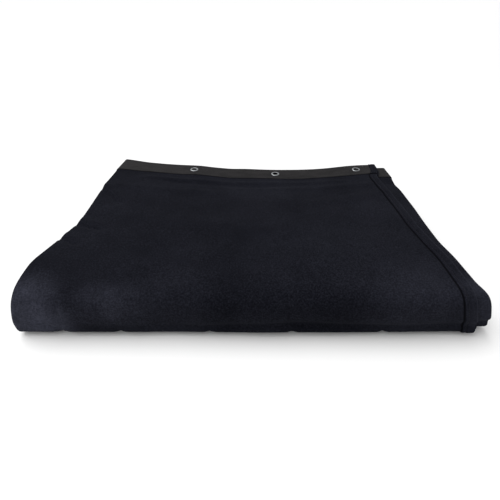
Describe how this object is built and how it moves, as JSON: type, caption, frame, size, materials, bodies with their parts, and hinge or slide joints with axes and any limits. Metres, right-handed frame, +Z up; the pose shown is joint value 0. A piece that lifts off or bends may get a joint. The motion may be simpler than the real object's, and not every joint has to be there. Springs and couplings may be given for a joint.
{
  "type": "folded stage drape",
  "caption": "Dark brushed-cotton stage drape folded flat, with a webbing header tape and metal eyelets along its top edge and a hemmed side.",
  "frame": {"origin": "centre of the footprint, on the surface that the folded drape lies on", "axes": "+X along the header tape towards the free side hems, +Y from the front fold to the header, +Z up"},
  "size_m": [0.7131, 0.47, 0.0824],
  "materials": {
    "cloth": "brushed matt nap",
    "hem": "brushed matt nap, turned twice and stitched",
    "webbing": "ribbed polyester webbing, slight sheen",
    "eyelet_metal": "dull nickel plate"
  },
  "bodies": {
    "stack": {"cloth_front_fold_1": "cloth", "cloth_front_fold_2": "cloth", "cloth_front_fold_3": "cloth", "cloth_front_fold_4": "cloth", "cloth_back_fold_upper": "cloth", "cloth_back_fold_inner": "cloth", "cloth_back_fold_outer": "cloth", "bottom_hem": "hem", "side_hem_a_fold_1": "hem", "side_hem_a_fold_2": "hem", "side_hem_a_fold_3": "hem", "side_hem_a_fold_4": "hem", "side_hem_b_fold_1": "hem"},
    "leaf_front": {"cloth_leaf_front": "cloth", "side_hem_a_front": "hem", "side_hem_b_front": "hem"},
    "leaf_rear": {"cloth_leaf_rear": "cloth", "side_hem_a_rear": "hem", "side_hem_b_rear": "hem", "top_edge_cloth": "cloth", "header_tape": "webbing", "side_hem_a_header": "hem", "side_hem_b_header": "hem", "eyelet_01": "eyelet_metal", "eyelet_02": "eyelet_metal", "eyelet_03": "eyelet_metal", "eyelet_04": "eyelet_metal", "eyelet_05": "eyelet_metal", "eyelet_06": "eyelet_metal", "eyelet_07": "eyelet_metal", "eyelet_08": "eyelet_metal", "eyelet_09": "eyelet_metal", "eyelet_10": "eyelet_metal", "eyelet_11": "eyelet_metal", "eyelet_12": "eyelet_metal", "eyelet_13": "eyelet_metal", "eyelet_washer_01": "eyelet_metal", "eyelet_washer_02": "eyelet_metal", "eyelet_washer_03": "eyelet_metal", "eyelet_washer_04": "eyelet_metal", "eyelet_washer_05": "eyelet_metal", "eyelet_washer_06": "eyelet_metal", "eyelet_washer_07": "eyelet_metal", "eyelet_washer_08": "eyelet_metal", "eyelet_washer_09": "eyelet_metal", "eyelet_washer_10": "eyelet_metal", "eyelet_washer_11": "eyelet_metal", "eyelet_washer_12": "eyelet_metal", "eyelet_washer_13": "eyelet_metal"}
  },
  "joints": [
    {"name": "leaf_front_lift", "type": "hinge", "parent": "stack", "child": "leaf_front", "pos_m": [0, -0.1938, 0.0824], "axis": [1, 0, 0], "range_deg": [0, 70]},
    {"name": "leaf_rear_lift", "type": "hinge", "parent": "leaf_front", "child": "leaf_rear", "pos_m": [0, 0.03, 0.06869], "axis": [1, 0, 0], "range_deg": [0, 80]}
  ]
}
